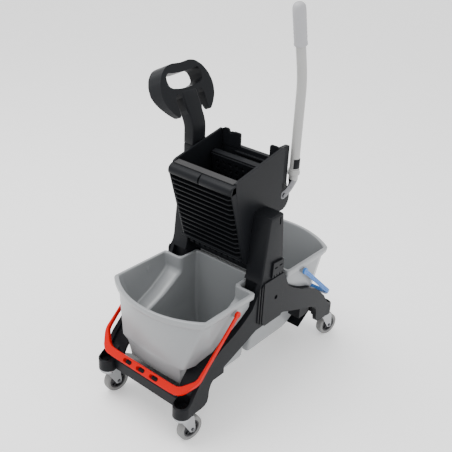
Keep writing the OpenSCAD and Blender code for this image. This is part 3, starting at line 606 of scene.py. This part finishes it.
TUBE = [(691, 12), (692, 14.8), (694, TUBE_R)] + [(h, TUBE_R) for h in range(700, 1150, 9)]
COLLAR = [(711, 15.7), (711, 19), (712, 20), (720, 20.2), (722, 19.6), (723, 18.4), (724, 18.6), (728, 18.6),
          (729.6, 17.6), (730, 15.6)]
lever_piece("lever_tube", TUBE, "lever_paint")
lever_piece("lever_grip", grip_stations(), "grip_plastic", 60)
lever_piece("lever_collar", COLLAR, "lever_paint")


def make_lever_band():
    """A black half sleeve, clipped on the tube on the side away from the wringer."""
    bm = bmesh.new()
    rings = []
    for k in range(25):
        a = math.radians(-64 + k * 172 / 24)
        out = Vector((math.cos(a), math.sin(a), 0))
        centre = Vector((LEVER_X, LEVER_Y, 0))
        rings.append([centre + out * r + Vector((0, 0, z)) for r, z in
                      ((15.6, 734), (16.9, 734), (17.5, 735), (17.5, 765), (16.9, 766), (15.6, 766))])
    add_loft(bm, rings)
    finish_piece("lever_band", bm, "lever", "black_plastic", ("lever_band",))


def make_lever_end():
    """The pressed end of the lever: round at the tube, flattened where it is clamped on the shaft."""
    bm = bmesh.new()
    # (y, z), half thickness and half width of each section, from the tube to the clamp
    sections = [((175, 712), 15, 15), ((175, 704), 15, 15), ((175, 697), 14.4, 15.2),
                ((174.4, 690), 12.4, 15.6), ((172, 682), 8.6, 15.6), ((167, 674), 6, 15.2),
                ((160, 667), 5, 14.6), ((151, 661), 4.4, 14), ((142, 656.5), 4, 14.2),
                ((134, 653.6), 4, 14.8), ((126, 652), 4, 15), ((118, 651.2), 4, 13), ((114, 651), 3.6, 9.6),
                ((112, 650.9), 2.4, 5)]
    rings = []
    for i, ((y, z), thick, wide) in enumerate(sections):
        a, b = Vector(sections[max(i - 1, 0)][0]), Vector(sections[min(i + 1, len(sections) - 1)][0])
        t = (b - a).normalized()
        across = Vector((-t.y, t.x))
        ring = []
        power = 1 if i < 3 else 0.7
        for c, d in circle(1, 28):
            u = math.copysign(abs(c) ** power, c) * thick
            w = math.copysign(abs(d) ** power, d) * wide
            ring.append(Vector((LEVER_X + u, y + across.x * w, z + across.y * w)))
        rings.append(ring)
    add_loft(bm, rings)
    # a nut on the shaft and a rivet
    for y, z, r, hi, count in ((126, 652, 8.6, 129, 6), (161, 668, 4.6, 126.6, 20)):
        bolt = [(0.2, LEVER_X), (r, LEVER_X), (r, hi - 2), (r - 1.6, hi - 0.4), (0.2, hi)]
        lathe(bm, bolt, (0, y, z), (1, 0, 0), count)
    finish_piece("lever_end", bm, "lever", "zinc_steel", ("lever_end",), angle=40)


make_lever_band()
make_lever_end()

# ---------------------------------------------------------------- chassis mouldings


def soften(name, width, body="chassis", slot="black_plastic", shape=None):
    """Rebuilds a CAD node as a moulding with rounded edges; shape may move its points first."""
    bm = bmesh.new()
    bm.from_mesh(frame["nodes"][name].data)
    bmesh.ops.remove_doubles(bm, verts=bm.verts, dist=1e-6)
    bmesh.ops.dissolve_limit(bm, angle_limit=math.radians(0.6), verts=bm.verts, edges=bm.edges)
    bmesh.ops.scale(bm, vec=(1 / MM, 1 / MM, 1 / MM), verts=bm.verts)
    if shape:
        shape(bm)
    return finish_piece(name + "_moulded", bm, body, slot, (name,), 28, width, lift=0)


def lower_left_ear(bm):
    """Brings the casing's ear on the push handle's side down to the height of the tab beside it."""
    for v in bm.verts:
        if v.co.x < -80 and v.co.z > 796:
            v.co.z -= 23


for part, width in (("side_frame", 2.4), ("clip_plate", 0.7), ("wringer_cheek", 2.6)):
    for hand in ("right", "left"):
        soften(f"{part}_{hand}", width)
for part, width in (("cross_member_front", 2.0), ("cross_member_rear", 2.0), ("wringer_back", 1.2),
                    ("centre_bridge", 1.5), ("bucket_guides", 1.2), ("wringer_floor", 0.6),
                    ("pad_right", 1.4)):
    soften(part, width)
soften("rear_casing", 2.0, shape=lower_left_ear)
soften("wringer_lip", 0.9, slot="grey_plastic")
soften("press_plate", 0.9, "press")
soften("press_yokes", 1.0, "press")
soften("cranks", 1.0, "lever", "zinc_steel")

TOWER_IN, TOWER_OUT = 128, 194


def make_tower(hand, side):
    """A rounded post on the side frame, flared where it meets it, with a domed top and a slot in its side."""
    bm = bmesh.new()
    foot = [Vector(q) for q in ((TOWER_IN, -55), (180, -55), (180, 55), (TOWER_IN, 55))]
    add_loft(bm, [[Vector((side * p.x, p.y, z)) for p in rounded(foot, 3, 3)] for z in (264, 432)])
    levels = [(z, 0) for z in (428, 430, 434, 440, 448, 460, 480, 520, 560, 600, 630, 642)]
    levels += [(645, 0.7), (647, 2.2), (648, 4.6), (648.2, 9)]
    rings = []
    for z, inset in levels:
        half = interp([(428, 64), (434, 60.5), (440, 58), (448, 56), (460, 54), (648, 33.6)], z) - inset
        outer = interp([(428, 196.4), (434, 195.4), (444, 194.4), (460, TOWER_OUT)], z) - inset
        corners = [(TOWER_IN, -half), (outer, -half), (outer, half), (TOWER_IN, half)]
        r = 7 if z > 450 else 5
        section = rounded([Vector(q) for q in corners], [2, r, r, 2], 6)
        rings.append([Vector((side * q.x, q.y, z)) for q in section])
    add_loft(bm, rings)
    name = "tower_" + hand
    piece = finish_piece(name, bm, "chassis", "black_plastic", (name,), angle=50)
    cut = bmesh.new()
    x0, x1 = sorted((side * 188, side * 200))
    slot = [Vector(q) for q in ((14, 613), (19.6, 613), (19.6, 639), (14, 639))]
    prism(cut, rounded(slot, 2, 2), x0, x1)
    boolean_cut(piece, cut)


def make_frame_ribs(hand, side):
    """Two upright ribs on the side frame, in front of the accessory pad."""
    for index, y in enumerate((-57, -69)):
        bm = bmesh.new()
        x0, x1 = sorted((side * 194, side * (201 - index)))
        low = 272 + 10 * index
        prism(bm, [(y - 3.4, low + 8), (y + 3.4, low), (y + 3.4, 426), (y - 3.4, 414)], x0, x1)
        finish_piece(f"frame_rib_{hand}_{index + 1}", bm, "chassis", "black_plastic", bevel=1.6)


def make_casing_side(hand, side):
    """The casing's end wall, from its rounded bottom up to the ear beside the lever."""
    bm = bmesh.new()
    top = 815 if side > 0 else 792
    outline = [(105, 592), (105, top), (146, top), (151, top - 6), (152, 700), (152, 670), (166, 660),
               (179, 648), (186, 634), (187, 620), (183, 604), (173, 590), (158, 582), (132, 582)]
    x0, x1 = sorted((side * 98, side * 103.4))
    prism(bm, rounded([Vector(q) for q in outline], [0, 4, 5, 5, 12, 8] + [0] * 8, 3), x0, x1)
    finish_piece("casing_side_" + hand, bm, "chassis", "black_plastic", bevel=1.8)


def make_casing_ear():
    """The thick upright edge of the casing beside the lever."""
    bm = bmesh.new()
    outline = [Vector(q) for q in ((108, 690), (150, 690), (150, 815), (108, 815))]
    prism(bm, rounded(outline, [3, 6, 5, 3], 4), 100, 113.5)
    finish_piece("casing_ear", bm, "chassis", "black_plastic", bevel=1.8)


def make_corner_web(tag, side, end):
    """A sloping shelf between a pod, the side frame and the foot of a bucket."""
    bm = bmesh.new()
    top = [(286, 240), (304, 225), (320, 206), (340, 184), (352, 165), (358, 148)]
    outline = [(end * y, z) for y, z in top] + [(end * (y - 7), z - 8) for y, z in reversed(top)]
    x0, x1 = sorted((side * 123, side * 182))
    prism(bm, outline, x0, x1)
    finish_piece("corner_web_" + tag, bm, "chassis", "black_plastic", bevel=2.4)


def make_back_corner():
    """The raised corner of the back wall on the push handle's side, joined to the tab."""
    bm = bmesh.new()
    outline = [(-119.6, 770), (-119.6, 827), (-95, 827), (-89, 813), (-77, 813), (-73, 822), (-45, 822),
               (-45, 770)]
    outline = rounded([Vector(q) for q in outline], [0, 10, 10, 5, 5, 4, 6, 0], 6)
    prism(bm, outline, 96.8, 105, axis="y")
    finish_piece("wringer_back_corner", bm, "chassis", "black_plastic", bevel=1.6)


make_back_corner()
make_casing_ear()
for hand, side in (("right", 1), ("left", -1)):
    make_tower(hand, side)
    make_frame_ribs(hand, side)
    make_casing_side(hand, side)
    for place, end in (("front", -1), ("rear", 1)):
        make_corner_web(f"{place}_{hand}", side, end)

# ---------------------------------------------------------------- wringer

LEAN = math.radians(11.3)
LIP_Y, LIP_Z = -65, 473
TRAY_HALF, TRAY_CORNER = 123.4, 11
BORDER_OUT = 127.4
RIB_FIRST, RIB_PITCH, RIB_COUNT, RIB_HIGH = 33, 18.6, 14, 4.6


def in_wringer(x, depth, up):
    """From the wringer's leaning frame to the trolley."""
    return Vector((x, LIP_Y + depth * math.cos(LEAN) - up * math.sin(LEAN),
                   LIP_Z + depth * math.sin(LEAN) + up * math.cos(LEAN)))


def tray_front(up):
    """Depth of the ribs' front edges at a height up the panel."""
    return -15.8 - 0.06 * up


def tray_rib(bm, up):
    """A level rib across the tray with cut-off front corners and softened front edges."""
    back, soft, half = 8.0, 1.2, TRAY_HALF - 0.4
    rings = []
    for level, inset in ((up, soft), (up + soft, 0), (up + RIB_HIGH - soft, 0), (up + RIB_HIGH, soft)):
        front = tray_front(up) + inset
        plan = [(-half, back), (-half, front + TRAY_CORNER), (TRAY_CORNER - half, front),
                (half - TRAY_CORNER, front), (half, front + TRAY_CORNER), (half, back)]
        plan = rounded([Vector(q) for q in plan], [0, 4, 4, 4, 4, 0], 3)
        rings.append([in_wringer(q.x, q.y, level) for q in plan])
    add_loft(bm, rings)


def wringer_block(bm, section, x0, x1, radius=0.8):
    """A bar along X from a (depth, up) outline."""
    outline = rounded([Vector(q) for q in section], radius, 2)
    add_loft(bm, [[in_wringer(x, q.x, q.y) for q in outline] for x in (x0, x1)])


def add_tray_grid(bm):
    """The slotted back wall of the tray: bars across and up."""
    for i in range(RIB_COUNT + 1):
        up = RIB_FIRST + (i - 1) * RIB_PITCH + 14
        wringer_block(bm, [(7, up), (14, up), (14, up + 11), (7, up + 11)], -120, 120)
    wringer_block(bm, [(7, 5), (14, 5), (14, 40), (7, 40)], -120, 120)
    for k in range(6):
        x = -105 + k * 42
        wringer_block(bm, [(7.4, 6), (13.6, 6), (13.6, 290), (7.4, 290)], x - 7, x + 7)


def add_tray_sides(bm):
    """The tray's side walls, and the borders between the tray and the side plates."""
    border = [(4.5, 3), (tray_front(3) + 12, 12), (tray_front(276) + 5, 278), (-18, 296), (4.5, 296)]
    step = TRAY_CORNER + 1
    wall = [(10, 12), (tray_front(14) + step, 22), (tray_front(284) + step, 284), (10, 300)]
    for side in (-1, 1):
        x0, x1 = sorted((side * 122.6, side * BORDER_OUT))
        wringer_block(bm, border, x0, x1, 2.2)
    for side in (-1, 1):
        x0, x1 = sorted((side * 118.4, side * 123.6))
        wringer_block(bm, wall, x0, x1)


def add_tray_brow(bm):
    """The brow, rolled over to the lip, with an upright slit in the middle."""
    back, cut, slit, slit_deep = 8, 4, 3, 9
    profile = ((276, -31), (276.6, -32.4), (279, -33.4), (285, -33.4), (290, -32), (295, -28), (298.4, -22),
               (300.6, -14), (301.6, -8))
    rings = []
    for up, front in profile:
        side = [(BORDER_OUT, back), (BORDER_OUT, front + cut), (BORDER_OUT - cut, front), (slit, front),
                (slit, front + slit_deep)]
        if front > -9:
            side = [(x, min(depth, back)) for x, depth in side]
        plan = [Vector((-x, depth)) for x, depth in side] + [Vector(q) for q in reversed(side)]
        plan = rounded(plan, [0, 2.5, 2.5, 0.6, 0.6, 0.6, 0.6, 2.5, 2.5, 0], 4)
        rings.append([in_wringer(q.x, q.y, up) for q in plan])
    add_loft(bm, rings)


def make_wringer_front():
    """The tray: a slotted back wall, ribs, side walls, a brow, and a sill with a toothed drain edge."""
    bm = bmesh.new()
    add_tray_grid(bm)
    for i in range(RIB_COUNT):
        tray_rib(bm, RIB_FIRST + i * RIB_PITCH)
    add_tray_sides(bm)
    add_tray_brow(bm)
    sill = [(-17.6, 34), (-17.6, 29), (-10, 19), (7, 5), (8, 11), (-6, 25), (-12, 34)]
    wringer_block(bm, sill, -TRAY_HALF, TRAY_HALF, 1.6)
    for k in range(9):
        x = -96 + k * 24
        wringer_block(bm, [(-1, -2), (12, -3), (12, 8), (-1, 12)], x - 7, x + 7)
    finish_piece("wringer_front", bm, "chassis", "black_plastic", ("wringer_front",), angle=34)


make_wringer_front()

# ---------------------------------------------------------------- push handle

HANDLE_X, HANDLE_BEND, HANDLE_LEAN = -158, 855, math.radians(26)
NECK_X, NECK_HALF = -154.5, (21.5, 30)
LOOP_BACK, LOOP_THICK = -31, 51
# half of the loop's outline, from the middle of the grip round a hook to the neck, with its corner radii
LOOP_EDGE = [(0, 190, 0), (40, 193, 60), (66, 188, 60), (92, 168, 60), (109, 141, 60), (116, 112, 60),
             (115, 90, 60), (107, 66, 60), (91, 44, 60), (77, 30, 8), (69, 26, 4), (64, 32, 5), (64, 84, 4),
             (58, 94, 4), (51, 97, 4), (44, 94, 4), (38, 84, 4), (36, 44, 6), (29, 26, 0)]
LOOP_SLOT = [(0, 161, 0), (40, 163, 30), (66, 167, 10), (76, 158, 9), (78, 144, 10), (75, 127, 12),
             (62, 118, 14), (36, 113, 30), (0, 111, 0)]


def on_loop(across, along, out):
    """From the hand loop's leaning plane to the trolley."""
    return Vector((HANDLE_X - along * math.sin(HANDLE_LEAN) + out * math.cos(HANDLE_LEAN), across,
                   HANDLE_BEND + along * math.cos(HANDLE_LEAN) + out * math.sin(HANDLE_LEAN)))


def neck_section(half_x, half_y):
    """A rounded rectangle across the neck or its stub."""
    corners = [(-half_x, -half_y), (half_x, -half_y), (half_x, half_y), (-half_x, half_y)]
    return rounded([Vector(q) for q in corners], 6, 4)


def make_handle_stub():
    """The stub on the tower, with its end rounded at the seam."""
    bm = bmesh.new()
    rings = []
    for z, inset in ((646, 0), (780, 0), (787.5, 0), (789.2, 0.8), (789.6, 3)):
        section = neck_section(NECK_HALF[0] - inset, NECK_HALF[1] - inset)
        rings.append([Vector((NECK_X + q.x, q.y, z)) for q in section])
    add_loft(bm, rings)
    finish_piece("handle_stub", bm, "chassis", "black_plastic", ("handle_stub",), angle=50)


def neck_place(along):
    """Centre of the neck and its lean: straight, bent, then up the middle of the loop."""
    bend = min(max((along + 20) / 40, 0), 1)
    angle = HANDLE_LEAN * (bend * bend * (3 - 2 * bend))
    if along >= 20:
        return on_loop(0, along, 3.2), angle
    arc = max(along + 20, 0) ** 2 / 80
    height = HANDLE_BEND + along - arc * (1 - math.cos(HANDLE_LEAN))
    return Vector((NECK_X - arc * math.sin(HANDLE_LEAN), 0, height)), angle


def make_handle_neck():
    """The neck, from the seam into the loop."""
    bm = bmesh.new()
    rings = []
    stations = [(-64.6, 3), (-64.2, 0.8), (-62.5, 0), (-40, 0), (-24, 0)]
    stations += [(v, 0) for v in range(-18, 25, 6)]
    stations += [(40, 0), (60, 0), (80, 0), (96, 0), (104, 1), (108, 6)]
    for along, inset in stations:
        centre, angle = neck_place(along)
        side = Vector((math.cos(angle), 0, math.sin(angle)))
        half_y = interp([(-30, 30), (30, 30.5), (60, 33), (110, 34)], along) - inset
        half_x = interp([(20, 21.5), (60, 20.5), (100, 18.4), (108, 16)], along) - inset
        rings.append([centre + side * q.x + Vector((0, q.y, 0)) for q in neck_section(half_x, half_y)])
    add_loft(bm, rings)
    finish_piece("handle_neck", bm, "chassis", "black_plastic", angle=50)


def make_handle_loop():
    """A thick plate with a sagging hand slot and a hook on each side of the neck, thinner at the hooks."""
    bm = bmesh.new()
    for table in (LOOP_EDGE, LOOP_SLOT):
        mirrored = [(-x, y, r) for x, y, r in reversed(table) if x]
        points = table + mirrored
        outline = rounded([Vector((x, y)) for x, y, r in points], [r for x, y, r in points], 6)
        verts = [bm.verts.new(on_loop(q.x, q.y, LOOP_BACK)) for q in outline]
        for a, b in zip(verts, verts[1:] + verts[:1]):
            bm.edges.new((a, b))
    bmesh.ops.triangle_fill(bm, use_beauty=True, edges=bm.edges)
    bmesh.ops.dissolve_limit(bm, angle_limit=0.01, verts=bm.verts, edges=bm.edges)
    grown = bmesh.ops.extrude_face_region(bm, geom=bm.faces[:])
    front = {v for v in grown["geom"] if isinstance(v, bmesh.types.BMVert)}
    middle = on_loop(0, 0, 0)
    up, out = on_loop(0, 1, 0) - middle, on_loop(0, 0, 1) - middle
    bmesh.ops.translate(bm, vec=on_loop(0, 0, LOOP_THICK) - middle, verts=list(front))
    for v in bm.verts:
        if v not in front:
            along = (v.co - middle).dot(up)
            v.co += out * interp([(26, 30), (60, 20), (112, -2.4), (188, -17.6)], along)
    finish_piece("handle_loop", bm, "chassis", "black_plastic", ("handle_loop",), 40, bevel=8.5, steps=5)


make_handle_stub()
make_handle_neck()
make_handle_loop()
